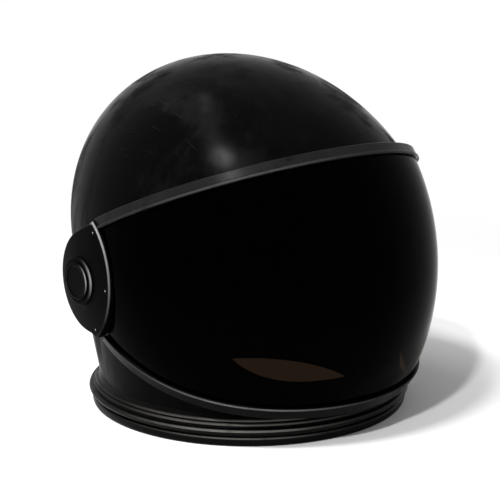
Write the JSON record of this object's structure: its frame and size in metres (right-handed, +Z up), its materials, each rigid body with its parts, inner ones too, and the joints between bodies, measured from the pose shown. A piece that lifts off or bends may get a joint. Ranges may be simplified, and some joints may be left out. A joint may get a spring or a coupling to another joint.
{
  "type": "astronaut helmet",
  "caption": "Domed space helmet on a stepped neck ring, with a framed smoked bubble visor that swings up on two ear hubs.",
  "frame": {"origin": "on the neck ring's upright axis, at the level of its bottom face", "axes": "+Z up, -Y the way the helmet faces, +X to the right as seen from in front"},
  "size_m": [0.3624, 0.38, 0.3344],
  "materials": {
    "shell_black": "polished black moulding",
    "frame_metal": "gloss black paint over aluminium",
    "ring_black": "satin black moulding",
    "smoked_lens": "smoked gloss polycarbonate",
    "rubber": "matt",
    "padding": "cloth over foam",
    "steel": "plain",
    "brass": "plain",
    "washer": "plain"
  },
  "bodies": {
    "helmet": {"shell": "shell_black", "face_opening_trim": "rubber", "neck_ring": "ring_black", "base_ring": "ring_black", "ring_gasket": "rubber", "neck_trim": "rubber", "ring_screws": "steel", "brow_seal": "rubber", "hub_pod_left": "ring_black", "hub_pod_right": "ring_black", "friction_washer_left": "washer", "friction_washer_right": "washer", "hub_bush_left": "brass", "hub_bush_right": "brass", "retaining_washer_left": "steel", "retaining_washer_right": "steel", "inner_washer_left": "steel", "inner_washer_right": "steel", "pivot_bolt_left": "steel", "pivot_bolt_right": "steel", "pivot_nut_left": "steel", "pivot_nut_right": "steel", "crown_pad": "padding", "brow_pad": "padding", "rear_pad": "padding", "side_pad_left": "padding", "side_pad_right": "padding"},
    "visor": {"visor_lens": "smoked_lens", "brow_band": "frame_metal", "chin_band": "frame_metal", "ear_plate_left": "frame_metal", "ear_plate_right": "frame_metal", "ear_plate_screws_left": "steel", "ear_plate_screws_right": "steel", "ear_plate_nuts_left": "steel", "ear_plate_nuts_right": "steel", "hub_cap_left": "frame_metal", "hub_cap_right": "frame_metal"}
  },
  "joints": [
    {"name": "visor_hinge", "type": "hinge", "parent": "helmet", "child": "visor", "pos_m": [0, 0.0293, 0.1362], "axis": [-1, 0, 0], "range_deg": [0, 60]}
  ]
}
